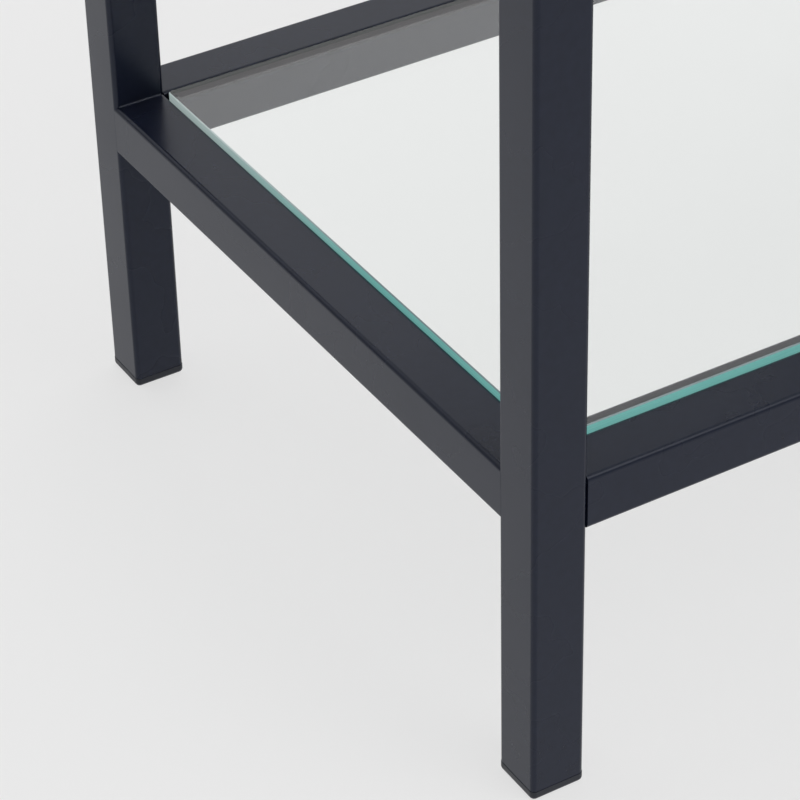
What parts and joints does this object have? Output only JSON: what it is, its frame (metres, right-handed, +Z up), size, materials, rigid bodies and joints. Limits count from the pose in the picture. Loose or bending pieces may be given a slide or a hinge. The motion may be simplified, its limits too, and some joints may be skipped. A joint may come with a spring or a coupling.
{
  "type": "nesting tables",
  "caption": "Nest of square steel tube tables with lift-in clear glass tops; the small one has a glass shelf and slides on its feet under the large one.",
  "frame": {"origin": "on the floor, at the centre of the box round the whole nest, with the small table drawn out clear in front of the large one", "axes": "+Z up, +X to the right seen from the front, +Y from the front (small table) to the back (large table)"},
  "size_m": [0.4402, 0.9704, 0.5497],
  "materials": {
    "powder_coated_steel": "fine-textured satin black powder coat on mild steel tube",
    "tempered_glass": "clear tempered float glass, ground and polished green edges",
    "black_polyethylene": "moulded black polyethylene",
    "zinc_plated_steel": "bright zinc plate",
    "black_foam": "black closed-cell foam tape"
  },
  "bodies": {
    "large_table": {"large_leg_front_left": "powder_coated_steel", "large_leg_front_right": "powder_coated_steel", "large_leg_rear_left": "powder_coated_steel", "large_leg_rear_right": "powder_coated_steel", "large_top_rail_front": "powder_coated_steel", "large_top_rail_rear": "powder_coated_steel", "large_low_rail_rear": "powder_coated_steel", "large_top_rail_left": "powder_coated_steel", "large_top_rail_right": "powder_coated_steel", "large_low_rail_left": "powder_coated_steel", "large_low_rail_right": "powder_coated_steel", "large_top_ledges": "powder_coated_steel", "large_rail_stubs": "powder_coated_steel", "large_weld_nuts": "zinc_plated_steel", "large_rail_screws": "zinc_plated_steel", "large_glass_top": "tempered_glass", "large_top_strips": "black_foam", "large_foot_caps": "black_polyethylene"},
    "small_table": {"small_leg_front_left": "powder_coated_steel", "small_leg_front_right": "powder_coated_steel", "small_leg_rear_left": "powder_coated_steel", "small_leg_rear_right": "powder_coated_steel", "small_top_rail_front": "powder_coated_steel", "small_top_rail_rear": "powder_coated_steel", "small_shelf_rail_front": "powder_coated_steel", "small_shelf_rail_rear": "powder_coated_steel", "small_top_rail_left": "powder_coated_steel", "small_top_rail_right": "powder_coated_steel", "small_shelf_rail_left": "powder_coated_steel", "small_shelf_rail_right": "powder_coated_steel", "small_top_ledges": "powder_coated_steel", "small_shelf_ledges": "powder_coated_steel", "small_rail_stubs": "powder_coated_steel", "small_weld_nuts": "zinc_plated_steel", "small_rail_screws": "zinc_plated_steel", "small_glass_top": "tempered_glass", "small_glass_shelf": "tempered_glass", "small_top_strips": "black_foam", "small_shelf_strips": "black_foam", "small_foot_caps": "black_polyethylene"}
  },
  "joints": [
    {"name": "nest_slide", "type": "slide", "parent": "large_table", "child": "small_table", "axis": [0, 1, 0], "range_m": [0, 0.48]}
  ]
}
